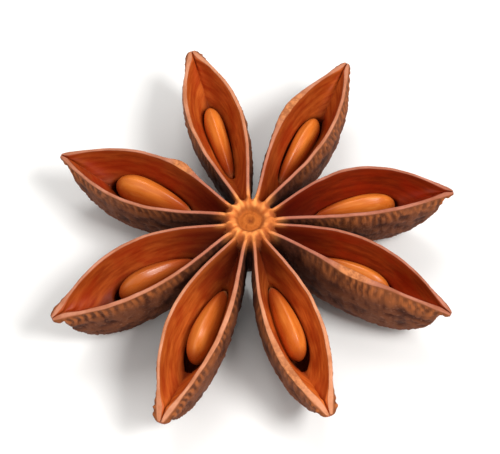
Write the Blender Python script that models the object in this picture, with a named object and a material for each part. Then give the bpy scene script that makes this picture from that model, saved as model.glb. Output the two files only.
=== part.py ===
# Star anise pod: eight boat-shaped follicles grown onto one central column, split open
# along their tops, with one flat seed standing on its edge in each.
# Metres, +Z up. The origin is the middle of the stalk's cut face, on the resting plane.

import math

import bmesh
import bpy
from mathutils import Matrix, Vector

MM = 0.001

# Heights over the resting plane
DISC_TOP = 7.9 * MM          # lips where they leave the ring
ROOT_KEEL = 2.4 * MM         # underside of a follicle beside the stalk

# Follicle body. A share is the way from the ring (0) to the tip (1).
ROOT_RADIUS = 1.9 * MM       # where the lips leave the ring
BURIED_RADIUS = 1.35 * MM    # inner end of a follicle, inside the ring
ROOT_OPENING = 0.42 * MM     # half gap between the lips at the ring
BODY_HALF_WIDTH = 2.35 * MM  # half width over the walls at the widest place
OPENING_POWERS = (1.25, 1.15)  # how the opening widens from the ring and closes to the tip
WALL_ROUNDNESS = (2.6, 0.66)  # full sides over a narrow keel
LIP_FLARE = 0.30             # share of the depth in which the wall turns out to the lip
KEEL_LOWEST_AT = 0.56        # share at which the keel is deepest
KEEL_RISE_POWER = 1.8        # from the deepest place in to the stalk
KEEL_END_POWER = 2.4         # from the deepest place out to the beak
BEAK_FROM = 0.94             # share at which the deep body ends in the beak
BEAK_DEPTH = 0.95 * MM
TIP_ROUNDS_FROM = 0.97
TIP_SHRINK = 0.60            # size of the very last section

# Rims of the opening
LIP_THICKNESS = 0.32 * MM
LIP_EDGE = 0.06 * MM         # how far the rim's outer edge lies under its inner edge
RIM_THICKENS_FROM = 0.84     # share at which the rims start to swell towards the tip
SEAM_HALF_GAP = 0.06 * MM    # the two rims never quite meet

# Seed: a flat ovoid on its edge, long way along the follicle
SEED_HALF_LENGTH = 3.45 * MM
SEED_HALF_DEPTH = 1.75 * MM
SEED_HALF_THICKNESS = 1.00 * MM
SEED_DISTANCE = 8.9 * MM     # from the column's axis
SEED_BELOW_LIP = 3.40 * MM   # middle of the seed under the lips
SEED_TAPER = 0.28            # the inner end is the narrower one

# Inside of a follicle: a curved valley from lip to lip, with an oval hole that holds the seed
VALLEY_DEPTH = 3.4 * MM
VALLEY_LEAST = 0.12 * MM     # depth left at the tip
VALLEY_ROUNDNESS = (1.25, 0.4545)
VALLEY_OPENS = (0.0, 0.28)   # shares between which it gets deep, from the ring
VALLEY_CLOSES = (0.58, 1.0)  # and shallow again, to the tip
VALLEY_AT_ROOT = 0.30        # part of its depth at the ring
SEAM_NARROW = 0.22           # half width of the seam along the valley, of the gap between the lips
SEAM_DEPTH = 0.25 * MM
POCKET_HALF_WIDTH = 1.20 * MM
POCKET_HALF_LENGTH = 4.6 * MM
POCKET_AHEAD = 0.45 * MM     # middle of the pocket past the middle of the seed
POCKET_CLOSES = 0.40         # share of the oval's width at which the hole starts to get shallow
POCKET_SWELL = 0.25 * MM     # how much wider the pocket is round the seed's middle
POCKET_DEPTH = 5.9 * MM
POCKET_ROUNDNESS = (3.0, 0.55)

# Column: ring with a dimple and a middle pip on top, short cut stalk below
RING_TOP = 8.1 * MM
RING_RADIUS = 1.6 * MM
DIMPLE_DEPTH = 0.45 * MM
WAIST_RADIUS = 3.0 * MM      # where the follicles' backs grow together
WAIST_HEIGHT = 5.3 * MM
STALK_RADIUS = 0.95 * MM
STALK_LENGTH = 1.0 * MM

# How finely the skins are divided
SECTION_OUTER = (0.96, 0.83, 0.60, 0.34, 0.12)  # depths of the outer wall's points
SECTION_SLOPE = (0.36, 0.72)                    # depths of the valley's points
SECTION_POCKET = (0.30, 0.80)                   # depths of the pocket's points
STATIONS = 17
STATION_EASE = 1.3           # stations crowd towards the tip
COLUMN_SEGMENTS = 24
SEED_SEGMENTS = 12
SEED_RINGS = 9
SHARP_ANGLE = 40.0

# One row for each follicle, counter-clockwise from +X: direction in degrees, length to the tip,
# half opening between the lips, sideways bow and half width of the tip, then roll of the
# opening in degrees, drop of the tip under the ring, arch of the lips over the straight line
# to the tip, and how far the keel stays off the ground. Then the seed's girth, how far it sits
# out from its usual distance, and how far aside to the left. Last, how much the left and the
# right rim are thickened, and at what share of the way and over what share of it.
FOLLICLES = [
    dict(turn=11.4, length=17.1 * MM, opening=2.08 * MM, bow=0.65 * MM, tip=0.30 * MM,
         roll=0.0, drop=1.6 * MM, arch=1.0 * MM, lift=0.2 * MM,
         seed=1.00, out=0.0 * MM, aside=0.0 * MM,
         thick_left=0.0 * MM, thick_right=0.0 * MM, thick_at=0.55, thick_reach=0.20),
    dict(turn=63.0, length=18.0 * MM, opening=1.90 * MM, bow=-0.10 * MM, tip=0.38 * MM,
         roll=1.0, drop=2.2 * MM, arch=0.8 * MM, lift=0.0 * MM,
         seed=0.87, out=0.2 * MM, aside=0.3 * MM,
         thick_left=0.4 * MM, thick_right=0.0 * MM, thick_at=0.58, thick_reach=0.16),
    dict(turn=106.0, length=17.9 * MM, opening=2.05 * MM, bow=0.12 * MM, tip=0.50 * MM,
         roll=4.0, drop=2.2 * MM, arch=1.2 * MM, lift=0.3 * MM,
         seed=0.88, out=0.2 * MM, aside=0.1 * MM,
         thick_left=0.0 * MM, thick_right=0.0 * MM, thick_at=0.55, thick_reach=0.20),
    dict(turn=155.3, length=17.3 * MM, opening=2.35 * MM, bow=0.15 * MM, tip=0.30 * MM,
         roll=0.0, drop=2.3 * MM, arch=0.8 * MM, lift=0.0 * MM,
         seed=1.12, out=-0.1 * MM, aside=-0.3 * MM,
         thick_left=0.0 * MM, thick_right=0.25 * MM, thick_at=0.34, thick_reach=0.10),
    dict(turn=207.0, length=18.0 * MM, opening=2.30 * MM, bow=-0.20 * MM, tip=0.55 * MM,
         roll=-5.0, drop=1.8 * MM, arch=1.0 * MM, lift=0.2 * MM,
         seed=1.00, out=-0.4 * MM, aside=-0.1 * MM,
         thick_left=0.0 * MM, thick_right=0.0 * MM, thick_at=0.55, thick_reach=0.20),
    dict(turn=247.5, length=18.7 * MM, opening=2.15 * MM, bow=-0.45 * MM, tip=0.70 * MM,
         roll=-5.0, drop=2.1 * MM, arch=0.9 * MM, lift=0.0 * MM,
         seed=1.15, out=-0.1 * MM, aside=0.2 * MM,
         thick_left=0.15 * MM, thick_right=0.0 * MM, thick_at=0.45, thick_reach=0.25),
    dict(turn=291.0, length=17.8 * MM, opening=2.05 * MM, bow=-0.05 * MM, tip=0.70 * MM,
         roll=3.0, drop=2.2 * MM, arch=1.0 * MM, lift=0.2 * MM,
         seed=1.05, out=-0.5 * MM, aside=0.1 * MM,
         thick_left=0.1 * MM, thick_right=0.35 * MM, thick_at=0.74, thick_reach=0.20),
    dict(turn=335.0, length=18.0 * MM, opening=1.65 * MM, bow=0.75 * MM, tip=0.35 * MM,
         roll=8.0, drop=2.1 * MM, arch=0.9 * MM, lift=0.0 * MM,
         seed=0.95, out=0.1 * MM, aside=0.0 * MM,
         thick_left=0.0 * MM, thick_right=0.4 * MM, thick_at=0.48, thick_reach=0.14),
]


def clamp01(value):
    return min(1.0, max(0.0, value))


def smooth_step(low, high, value):
    t = clamp01((value - low) / (high - low))
    return t * t * (3.0 - 2.0 * t)


def rounded(depth, roundness):
    # Half width left at a depth from 0 (full) to 1 (closed)
    power, root = roundness
    return (1.0 - depth ** power) ** root


def share_of_length(row, distance):
    return clamp01((distance - ROOT_RADIUS) / (row["length"] - ROOT_RADIUS))


def bulge(share):
    # 0 at the ring and the tip, 1 at the widest place
    rise, fall = OPENING_POWERS
    peak = rise / (rise + fall)
    top = peak ** rise * (1.0 - peak) ** fall
    return share ** rise * (1.0 - share) ** fall / top


def lip_height(row, share):
    return DISC_TOP - row["drop"] * share + 4.0 * row["arch"] * share * (1.0 - share)


def keel_height(row, share):
    if share < KEEL_LOWEST_AT:
        inward = 1.0 - share / KEEL_LOWEST_AT
        return row["lift"] + (ROOT_KEEL - row["lift"]) * inward ** KEEL_RISE_POWER
    outward = clamp01((share - KEEL_LOWEST_AT) / (BEAK_FROM - KEEL_LOWEST_AT))
    rise = 1.0 - math.sqrt(1.0 - outward ** KEEL_END_POWER)
    return row["lift"] + (lip_height(row, share) - row["lift"]) * rise


def body_depth(row, share):
    deep = lip_height(row, share) - keel_height(row, share)
    beak = BEAK_DEPTH * (1.0 - 0.5 * smooth_step(BEAK_FROM - 0.1, 1.0, share))
    return (deep ** 3 + beak ** 3) ** (1.0 / 3.0)


def centre_line(row, distance):
    return row["bow"] * math.sin(math.pi * share_of_length(row, distance))


def seed_distance(row):
    return SEED_DISTANCE + row["out"]


def pocket_oval(row, share):
    # The pocket's mouth is an oval round the seed: its width here, as a part of the full width
    distance = ROOT_RADIUS + share * (row["length"] - ROOT_RADIUS)
    along = (distance - seed_distance(row) - POCKET_AHEAD) / POCKET_HALF_LENGTH
    return math.sqrt(max(0.0, 1.0 - along * along))


def valley_depth(share):
    opens = VALLEY_AT_ROOT + (1.0 - VALLEY_AT_ROOT) * smooth_step(*VALLEY_OPENS, share)
    return VALLEY_LEAST + VALLEY_DEPTH * opens * (1.0 - smooth_step(*VALLEY_CLOSES, share))


def depth_at_width(width, roundness):
    # The other way round from rounded(): at what depth this half width is left
    power, root = roundness
    return (1.0 - width ** (1.0 / root)) ** (1.0 / power)


def rim_extra(row, share, side):
    # A rim may be thickened on its outer side, along part of the way
    most = row["thick_left"] if side > 0.0 else row["thick_right"]
    return most * math.exp(-((share - row["thick_at"]) / row["thick_reach"]) ** 2)


def half_section(row, share, side):
    # One half of the wall's outline, left (side 1) or right (side -1), from the keel up the
    # outside, over the lip and down the inside to the pocket's floor. Each point is
    # (sideways, depth under the lip).
    root = ROOT_OPENING * (1.0 - share) ** 3
    lip = row["opening"] * bulge(share) + root
    half_rim = LIP_THICKNESS / 2.0
    half_rim += (row["tip"] - half_rim) * smooth_step(RIM_THICKENS_FROM, 1.0, share)
    lip_outer = lip + half_rim + rim_extra(row, share, side)
    lip_inner = max(SEAM_HALF_GAP, lip - half_rim)
    belly = (BODY_HALF_WIDTH - LIP_THICKNESS / 2.0) * bulge(share) + root + half_rim
    deep = body_depth(row, share)
    oval = pocket_oval(row, share)
    hole = smooth_step(0.0, POCKET_CLOSES, oval)
    valley = valley_depth(share)
    seam = SEAM_NARROW * lip_inner
    pocket_edge = POCKET_HALF_WIDTH * row["seed"] * oval + side * row["aside"]
    edge = seam + hole * (min(lip_inner, pocket_edge) - seam)
    edge_depth = valley * depth_at_width(edge / lip_inner, VALLEY_ROUNDNESS)
    seam_floor = edge_depth + min(SEAM_DEPTH, valley / 2.0)
    floor = seam_floor + hole * (POCKET_DEPTH - seam_floor)

    points = [(0.0, deep)]
    for depth in SECTION_OUTER:
        flare = clamp01(1.0 - depth / LIP_FLARE) ** 2
        width = (belly + (lip_outer - belly) * flare) * rounded(depth, WALL_ROUNDNESS)
        points.append((width, LIP_EDGE + depth * (deep - LIP_EDGE)))
    points.append((lip_outer, LIP_EDGE))
    points.append((lip_inner, 0.0))
    for part in SECTION_SLOPE:
        depth = part * edge_depth
        points.append((lip_inner * rounded(depth / valley, VALLEY_ROUNDNESS), depth))
    points.append((edge, edge_depth))
    for depth in SECTION_POCKET:
        swell = POCKET_SWELL * smooth_step(0.0, SECTION_POCKET[0], depth)
        pocket_width = (edge + swell) * rounded(depth, POCKET_ROUNDNESS)
        seam_width = edge * (1.0 - depth)
        width = seam_width + hole * (pocket_width - seam_width)
        points.append((width, edge_depth + depth * (floor - edge_depth)))
    points.append((0.0, floor))
    return points


def tip_rounding(share):
    run = clamp01((share - TIP_ROUNDS_FROM) / (1.0 - TIP_ROUNDS_FROM))
    return math.sqrt(1.0 - (1.0 - TIP_SHRINK ** 2) * run * run)


def in_follicle(row, distance, share, across, depth):
    # From sideways and depth under the lip to a point of the pod
    roll = math.radians(row["roll"])
    y = centre_line(row, distance) + across * math.cos(roll) - depth * math.sin(roll)
    z = lip_height(row, share) - across * math.sin(roll) - depth * math.cos(roll)
    return Matrix.Rotation(math.radians(row["turn"]), 3, "Z") @ Vector((distance, y, z))


def follicle_ring(row, distance):
    # Points of the whole wall at one distance from the column
    share = share_of_length(row, distance)
    left = half_section(row, share, 1.0)
    right = half_section(row, share, -1.0)
    mirrored = [(-across, depth) for across, depth in reversed(right[1:-1])]
    size = tip_rounding(share)
    return [
        in_follicle(row, distance, share, across * size, depth * size)
        for across, depth in left + mirrored
    ]


def loft(rings):
    # A closed skin through rings of equal length; each end is a fan from the keel point
    mesh = bmesh.new()
    loops = [[mesh.verts.new(point) for point in ring] for ring in rings]
    count = len(rings[0])
    for before, after in zip(loops, loops[1:]):
        for i in range(count):
            j = (i + 1) % count
            mesh.faces.new((before[i], before[j], after[j], after[i]))
    first, last = loops[0], loops[-1]
    for i in range(1, count - 1):
        mesh.faces.new((first[0], first[i + 1], first[i]))
        mesh.faces.new((last[0], last[i], last[i + 1]))
    bmesh.ops.triangulate(mesh, faces=mesh.faces[:])
    return mesh


def place(mesh, name, material=None):
    data = bpy.data.meshes.new(name)
    mesh.to_mesh(data)
    mesh.free()
    data.shade_smooth()
    data.set_sharp_from_angle(angle=math.radians(SHARP_ANGLE))
    obj = bpy.data.objects.new(name, data)
    bpy.context.collection.objects.link(obj)
    if material:
        data.materials.append(material)
    return obj


def finish(name, colour, roughness):
    material = bpy.data.materials.new(name)
    material.use_nodes = True
    shader = material.node_tree.nodes["Principled BSDF"]
    shader.inputs["Base Color"].default_value = (*colour, 1.0)
    shader.inputs["Roughness"].default_value = roughness
    shader.inputs["Metallic"].default_value = 0.0
    return material


def follicle(row, name):
    rings = []
    for i in range(STATIONS):
        step = 1.0 - (1.0 - i / (STATIONS - 1)) ** STATION_EASE
        distance = BURIED_RADIUS + (row["length"] - BURIED_RADIUS) * step
        rings.append(follicle_ring(row, distance))
    return place(loft(rings), name)


def column(material):
    # Half outline from the pip down over the ring to the stalk's cut face
    outline = [
        (0.0, RING_TOP - 0.3 * DIMPLE_DEPTH),
        (0.2 * RING_RADIUS, RING_TOP - 0.5 * DIMPLE_DEPTH),
        (0.5 * RING_RADIUS, RING_TOP - DIMPLE_DEPTH),
        (0.75 * RING_RADIUS, RING_TOP - 0.3 * DIMPLE_DEPTH),
        (RING_RADIUS, RING_TOP),
        (1.25 * RING_RADIUS, RING_TOP - 0.7 * DIMPLE_DEPTH),
        (0.8 * WAIST_RADIUS, 0.5 * (RING_TOP + WAIST_HEIGHT)),
        (WAIST_RADIUS, WAIST_HEIGHT),
        (0.9 * WAIST_RADIUS, 0.5 * (WAIST_HEIGHT + ROOT_KEEL)),
        (0.65 * WAIST_RADIUS, ROOT_KEEL),
        (1.3 * STALK_RADIUS, 0.5 * (ROOT_KEEL + STALK_LENGTH)),
        (STALK_RADIUS, STALK_LENGTH),
        (STALK_RADIUS, 0.0),
        (0.0, 0.0),
    ]
    mesh = bmesh.new()
    points = [mesh.verts.new((x, 0.0, z)) for x, z in outline]
    edges = [mesh.edges.new(pair) for pair in zip(points, points[1:])]
    bmesh.ops.spin(
        mesh, geom=points + edges, cent=(0.0, 0.0, 0.0), axis=(0.0, 0.0, 1.0),
        angle=2.0 * math.pi, steps=COLUMN_SEGMENTS, use_merge=True,
    )
    bmesh.ops.remove_doubles(mesh, verts=mesh.verts[:], dist=0.01 * MM)
    bmesh.ops.recalc_face_normals(mesh, faces=mesh.faces[:])
    return place(mesh, "husk", material)


def seed(row, name, material):
    mesh = bmesh.new()
    bmesh.ops.create_uvsphere(mesh, u_segments=SEED_SEGMENTS, v_segments=SEED_RINGS, radius=1.0)
    middle = seed_distance(row)
    share = share_of_length(row, middle)
    for vert in mesh.verts:
        # The sphere's poles become the seed's two ends
        side, up, along = vert.co
        girth = row["seed"] * (1.0 + SEED_TAPER * along)
        distance = middle + along * SEED_HALF_LENGTH
        across = row["aside"] + side * SEED_HALF_THICKNESS * girth
        depth = SEED_BELOW_LIP - up * SEED_HALF_DEPTH * girth
        vert.co = in_follicle(row, distance, share, across, depth)
    bmesh.ops.recalc_face_normals(mesh, faces=mesh.faces[:])
    return place(mesh, name, material)


def join_follicles(husk):
    for number, row in enumerate(FOLLICLES, start=1):
        guide = follicle(row, f"follicle_guide_{number}")
        guide.hide_render = True
        guide.display_type = "WIRE"
        union = husk.modifiers.new(f"follicle_{number}", "BOOLEAN")
        union.operation = "UNION"
        union.object = guide


def main():
    for obj in list(bpy.data.objects):
        bpy.data.objects.remove(obj, do_unlink=True)
    husk = column(finish("husk_brown", (0.22, 0.06, 0.02), 0.55))
    join_follicles(husk)
    kernel = finish("seed_tan", (0.50, 0.20, 0.05), 0.25)
    for number, row in enumerate(FOLLICLES, start=1):
        seed(row, f"seed_{number}", kernel)


main()
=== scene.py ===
import math

import bpy
import numpy as np
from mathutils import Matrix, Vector, kdtree, noise


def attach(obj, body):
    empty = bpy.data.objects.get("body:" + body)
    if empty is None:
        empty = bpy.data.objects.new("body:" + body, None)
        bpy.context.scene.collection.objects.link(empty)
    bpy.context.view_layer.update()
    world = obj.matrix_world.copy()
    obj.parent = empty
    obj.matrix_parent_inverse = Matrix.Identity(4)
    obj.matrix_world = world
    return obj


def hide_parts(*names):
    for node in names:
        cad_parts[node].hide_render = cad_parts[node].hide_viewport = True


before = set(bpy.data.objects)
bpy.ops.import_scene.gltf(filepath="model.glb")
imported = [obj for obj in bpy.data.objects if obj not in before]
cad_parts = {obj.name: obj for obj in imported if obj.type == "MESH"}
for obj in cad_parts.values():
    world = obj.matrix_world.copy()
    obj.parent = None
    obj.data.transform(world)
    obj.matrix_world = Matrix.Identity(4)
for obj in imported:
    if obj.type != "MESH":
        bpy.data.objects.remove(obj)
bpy.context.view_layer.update()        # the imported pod: one husk and its eight seeds

mm = 0.001               # sizes are in millimetres until points are written, in metres


def deselectAll():
    if bpy.context.object and bpy.context.object.mode != "OBJECT":
        bpy.ops.object.mode_set(mode="OBJECT")
    bpy.ops.object.select_all(action="DESELECT")


def selectOnly(obj):
    deselectAll()
    obj.select_set(True)
    bpy.context.view_layer.objects.active = obj


def duplicate(obj, name):
    selectOnly(obj)
    bpy.ops.object.duplicate(linked=False)
    copy = bpy.context.object
    copy.name = name
    return copy


def faceOutwards(obj):
    selectOnly(obj)
    bpy.ops.object.mode_set(mode="EDIT")
    bpy.ops.mesh.select_all(action="SELECT")
    bpy.ops.mesh.normals_make_consistent(inside=False)
    bpy.ops.object.mode_set(mode="OBJECT")


def applyModifier(obj, kind, **settings):
    selectOnly(obj)
    modifier = obj.modifiers.new(kind.lower(), kind)
    for key, value in settings.items():
        setattr(modifier, key, value)
    bpy.ops.object.modifier_apply(modifier=modifier.name)


def readPoints(obj):
    points = np.empty(len(obj.data.vertices) * 3)
    obj.data.vertices.foreach_get("co", points)
    return points.reshape(-1, 3)


def writePoints(obj, points):
    obj.data.vertices.foreach_set("co", np.asarray(points, dtype=np.float32).ravel())
    obj.data.update()


def addAttribute(piece, name, values):
    kind = "FLOAT_VECTOR" if values.ndim == 2 else "FLOAT"
    layer = piece.data.attributes.new(name, kind, "POINT")
    layer.data.foreach_set("vector" if values.ndim == 2 else "value", values.astype(np.float32).ravel())


def clamp01(value):
    return np.clip(value, 0.0, 1.0)


def smoothStep(low, high, value):
    t = clamp01((value - low) / (high - low))
    return t * t * (3.0 - 2.0 * t)


def between(fadeIn, fadeOut, value):
    # 1 from the end of the one fade to the start of the other, 0 outside them
    return smoothStep(*fadeIn, value) * (1.0 - smoothStep(*fadeOut, value))


def hump(value, middle, width):
    # 1 at the middle, fading out smoothly on both sides
    return np.exp(-((value - middle) / width) ** 2)


def rounded(depth, roundness):
    # the width that is left of a rounded body at a depth, both 0 to 1
    power, root = roundness
    return (1.0 - depth ** power) ** root


def depthAtWidth(width, roundness):
    # the other way round
    power, root = roundness
    return (1.0 - clamp01(width) ** (1.0 / root)) ** (1.0 / power)


def noiseAt(x, y, z):
    # smooth noise of about -1 to 1, for arrays of one shape
    x, y, z = np.broadcast_arrays(x, y, z)
    values = [noise.noise(Vector(place)) for place in zip(x.ravel(), y.ravel(), z.ravel())]
    return np.array(values).reshape(x.shape)


# One row for each follicle, counter-clockwise from +X. First its shape, as the solids have it:
# direction, length, half width of the opening, sideways bow, half thickness of the rims at the
# tip, lean, fall and arch of the rims, and how high the keel is lifted. Then its seed: size,
# shift outwards and sideways, how dark it is, and the dark gap at its outer end. Then how much
# thicker its left and right rims are (seen from the ring), where along it and how far that
# reaches. Last, how warm and bright its inside and rims are, partly its own colour and mostly
# painted light and shade for how the light falls on it, and how much painted shade darkens its
# neck at the ring.
follicleRows = [
    {"turn": 11.4, "length": 17.1, "opening": 2.08, "bow": 0.65, "tip": 0.30,
     "roll": 0.0, "drop": 1.6, "arch": 1.0, "lift": 0.2,
     "seed": 1.00, "out": 0.0, "aside": 0.0, "shade": 0.00, "gap": 0.25,
     "thick": (0.00, 0.03), "thickAt": 0.55, "thickReach": 0.20, "tone": 0.05, "neckShade": 1.00},
    {"turn": 63.0, "length": 18.0, "opening": 1.90, "bow": -0.10, "tip": 0.38,
     "roll": 1.0, "drop": 2.2, "arch": 0.8, "lift": 0.0,
     "seed": 0.87, "out": 0.2, "aside": 0.3, "shade": 0.00, "gap": 0.45,
     "thick": (0.40, 0.00), "thickAt": 0.58, "thickReach": 0.16, "tone": 0.50, "neckShade": 0.35},
    {"turn": 106.0, "length": 17.9, "opening": 2.05, "bow": 0.12, "tip": 0.50,
     "roll": 4.0, "drop": 2.2, "arch": 1.2, "lift": 0.3,
     "seed": 0.88, "out": 0.2, "aside": 0.1, "shade": 0.00, "gap": 0.30,
     "thick": (0.08, 0.03), "thickAt": 0.70, "thickReach": 0.20, "tone": 0.80, "neckShade": 0.10},
    {"turn": 155.3, "length": 17.3, "opening": 2.35, "bow": 0.15, "tip": 0.30,
     "roll": 0.0, "drop": 2.3, "arch": 0.8, "lift": 0.0,
     "seed": 1.12, "out": -0.1, "aside": -0.3, "shade": 0.15, "gap": 0.30,
     "thick": (0.00, 0.46), "thickAt": 0.34, "thickReach": 0.08, "tone": 0.30, "neckShade": 0.90},
    {"turn": 207.0, "length": 18.0, "opening": 2.30, "bow": -0.20, "tip": 0.55,
     "roll": -5.0, "drop": 1.8, "arch": 1.0, "lift": 0.2,
     "seed": 1.00, "out": -0.4, "aside": -0.1, "shade": 0.75, "gap": 0.45,
     "thick": (0.08, 0.05), "thickAt": 0.70, "thickReach": 0.20, "tone": 0.40, "neckShade": 1.00},
    {"turn": 247.5, "length": 18.7, "opening": 2.15, "bow": -0.45, "tip": 0.70,
     "roll": -5.0, "drop": 2.1, "arch": 0.9, "lift": 0.0,
     "seed": 1.15, "out": -0.1, "aside": 0.2, "shade": 0.35, "gap": 0.75,
     "thick": (0.12, 0.03), "thickAt": 0.45, "thickReach": 0.25, "tone": 0.75, "neckShade": 1.00},
    {"turn": 291.0, "length": 17.8, "opening": 2.05, "bow": -0.05, "tip": 0.70,
     "roll": 3.0, "drop": 2.2, "arch": 1.0, "lift": 0.2,
     "seed": 1.05, "out": -0.5, "aside": 0.1, "shade": 0.05, "gap": 0.85,
     "thick": (0.10, 0.35), "thickAt": 0.74, "thickReach": 0.22, "tone": 1.00, "neckShade": 0.90},
    {"turn": 335.0, "length": 18.0, "opening": 1.65, "bow": 0.75, "tip": 0.35,
     "roll": 8.0, "drop": 2.1, "arch": 0.9, "lift": 0.0,
     "seed": 0.95, "out": 0.1, "aside": 0.0, "shade": 0.10, "gap": 0.40,
     "thick": (0.00, 0.40), "thickAt": 0.48, "thickReach": 0.13, "tone": 0.15, "neckShade": 1.00},
]

# Where a value is a share, it is a share of the follicle's length from the ring to the tip.
husk = {
    "stations": 100,            # steps along a follicle
    "around": 22,               # steps from the keel to the rim, and again from the rim to the floor
    "stationEase": 1.20,        # steps crowd towards the tip
    "rimPart": 0.84,            # of the steps round a layer, where the rim starts
    "mouthPart": 0.36,          # and where the inside slope meets the seed's pocket

    # the ring: where the rims leave it, the keel beside the stalk, and the follicle's buried end
    "discTop": 7.9, "rootRadius": 1.9, "rootKeel": 2.4, "buriedRadius": 1.35,
    "rootOpening": 0.42, "rootFades": 3,        # half gap between the rims at the ring
    # the outer wall, full sides over a narrow keel, turning out to the rim
    "bodyHalfWidth": 2.35, "openingPowers": (1.25, 1.15),
    "wallRoundness": (2.6, 0.66), "wallEase": 1.5, "lipFlare": 0.30,
    "keelLowestAt": 0.56, "keelRise": 1.8, "keelEnd": 2.4,
    "beakFrom": 0.94, "beakDepth": 0.95, "beakThins": 0.5, "beakBlend": 0.1,
    "tipRoundsFrom": 0.97, "tipShrink": 0.60,

    # the rims: thickness, how far their edges lie under their line, and the crest over it
    "lip": 0.32, "lipEdge": 0.06, "lipCrest": 0.07, "innerEdge": 0.10, "innerEdgePart": 0.3,
    "rimTurn": 78.0, "rimRoundness": (0.8, 0.9),    # degrees from the rim's edge to its crest
    "crestPart": 0.4, "crestLeast": 0.01,           # lower crests where the rim is thin
    "rimThickensFrom": 0.84, "thickFadeOut": (0.9, 1.0), "seamHalfGap": 0.06,

    # the inside: a curved valley with a seam along its floor, and a hole round the seed
    "valleyDepth": 3.4, "valleyLeast": 0.12, "valleyRoundness": (1.25, 1.0 / 2.2),
    "valleyOpens": (0.0, 0.28), "valleyCloses": (0.58, 1.0), "valleyAtRoot": 0.30,
    "seamDepth": 0.25, "seamNarrow": 0.22, "seamPart": 0.5,
    "snug": 0.03,               # gap between the seed and the inside
    "pocketTight": 0.94, "pocketWidest": 0.96, "pocketCloses": 0.40, "pocketDepth": 5.9,
    "pocketSwell": 0.18, "pocketSwellsTo": 0.3, "pocketRoundness": (3.0, 0.55), "pocketEase": 1.6,
}


def shareOfLength(row, distance):
    return clamp01((distance - husk["rootRadius"]) / (row["length"] - husk["rootRadius"]))


def distanceAtShare(row, share):
    return husk["rootRadius"] + share * (row["length"] - husk["rootRadius"])


def bulge(share):
    # how wide the opening is, 1 at its widest place
    rise, fall = husk["openingPowers"]
    peak = rise / (rise + fall)
    return share ** rise * (1.0 - share) ** fall / (peak ** rise * (1.0 - peak) ** fall)


def bowAt(row, share):
    return row["bow"] * np.sin(math.pi * share)


def lipHeight(row, share):
    return husk["discTop"] - row["drop"] * share + 4.0 * row["arch"] * share * (1.0 - share)


def keelHeight(row, share):
    lowest = husk["keelLowestAt"]
    inward = clamp01(1.0 - share / lowest)
    inner = row["lift"] + (husk["rootKeel"] - row["lift"]) * inward ** husk["keelRise"]
    outward = clamp01((share - lowest) / (husk["beakFrom"] - lowest))
    rise = 1.0 - np.sqrt(1.0 - outward ** husk["keelEnd"])
    outer = row["lift"] + (lipHeight(row, share) - row["lift"]) * rise
    return np.where(share < lowest, inner, outer)


def bodyDepth(row, share):
    # from the rims to the keel; the body ends in a shallow beak that thins to the tip
    deep = lipHeight(row, share) - keelHeight(row, share)
    thinned = husk["beakThins"] * smoothStep(husk["beakFrom"] - husk["beakBlend"], 1.0, share)
    beak = husk["beakDepth"] * (1.0 - thinned)
    return (deep ** 3 + beak ** 3) ** (1.0 / 3.0)


def rimExtra(row, share, side):
    # how much thicker than usual the left (side 1) or right (side -1) rim is here
    left, right = row["thick"]
    swell = hump(share, row["thickAt"], row["thickReach"])
    swell = swell * (1.0 - smoothStep(*husk["thickFadeOut"], share))
    return np.where(side > 0.0, left, right) * swell


def rootGap(share):
    return husk["rootOpening"] * (1.0 - share) ** husk["rootFades"]


def rimSize(row, share, side, waver, inside):
    # sideways distance of the rim's middle and of its outer or inner edge, and half its thickness
    line = row["opening"] * bulge(share) + rootGap(share) + waver
    halfRim = husk["lip"] / 2.0
    halfRim = halfRim + (row["tip"] - halfRim) * smoothStep(husk["rimThickensFrom"], 1.0, share)
    if inside:
        return line, np.maximum(husk["seamHalfGap"], line - halfRim), halfRim
    return line, line + halfRim + rimExtra(row, share, side), halfRim


def overRim(along, line, edge, edgeDepth, halfRim):
    # the rim's round half between its edge and its crest
    turned = clamp01((along - husk["rimPart"]) / (1.0 - husk["rimPart"])) * math.radians(husk["rimTurn"])
    acrossPower, upPower = husk["rimRoundness"]
    crest = np.minimum(husk["lipCrest"], husk["crestPart"] * halfRim + husk["crestLeast"])
    return (line + (edge - line) * np.cos(turned) ** acrossPower,
            edgeDepth - (edgeDepth + crest) * np.sin(turned) ** upPower)


def outerPoint(row, share, side, along, waver):
    # Sideways distance and depth under the rims' line, from the keel (along 0) up the
    # outer wall and over the outer half of the rim to its crest (along 1)
    line, lip, halfRim = rimSize(row, share, side, waver, False)
    belly = (husk["bodyHalfWidth"] - husk["lip"] / 2.0) * bulge(share) + rootGap(share) + halfRim
    depth = 1.0 - clamp01(along / husk["rimPart"]) ** husk["wallEase"]
    flare = clamp01(1.0 - depth / husk["lipFlare"]) ** 2
    wallWidth = (belly + (lip - belly) * flare) * rounded(depth, husk["wallRoundness"])
    wallDepth = husk["lipEdge"] + depth * (bodyDepth(row, share) - husk["lipEdge"])
    rimWidth, rimDepth = overRim(along, line, lip, husk["lipEdge"], halfRim)
    onWall = along < husk["rimPart"]
    return np.where(onWall, wallWidth, rimWidth), np.where(onWall, wallDepth, rimDepth)


def valleyDepth(share):
    opens = smoothStep(*husk["valleyOpens"], share)
    opens = husk["valleyAtRoot"] + (1.0 - husk["valleyAtRoot"]) * opens
    closes = 1.0 - smoothStep(*husk["valleyCloses"], share)
    return husk["valleyLeast"] + husk["valleyDepth"] * opens * closes


def seedHole(row, share):
    # how far the hole for the seed is open here (0 to 1), and its oval's half width
    reach = distanceAtShare(row, share) - seedDistance(row)
    clear = np.where(reach > 0.0, row["gap"], husk["snug"])
    u = np.clip(reach / (seedShape["halfLength"] + clear), -1.0, 1.0)
    arc = np.sqrt(1.0 - u * u)
    thick = husk["pocketTight"] * row["seed"] * seedShape["halfThickness"] + husk["snug"]
    return smoothStep(0.0, husk["pocketCloses"], arc), thick * (1.0 + seedShape["taper"] * u) * arc


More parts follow.
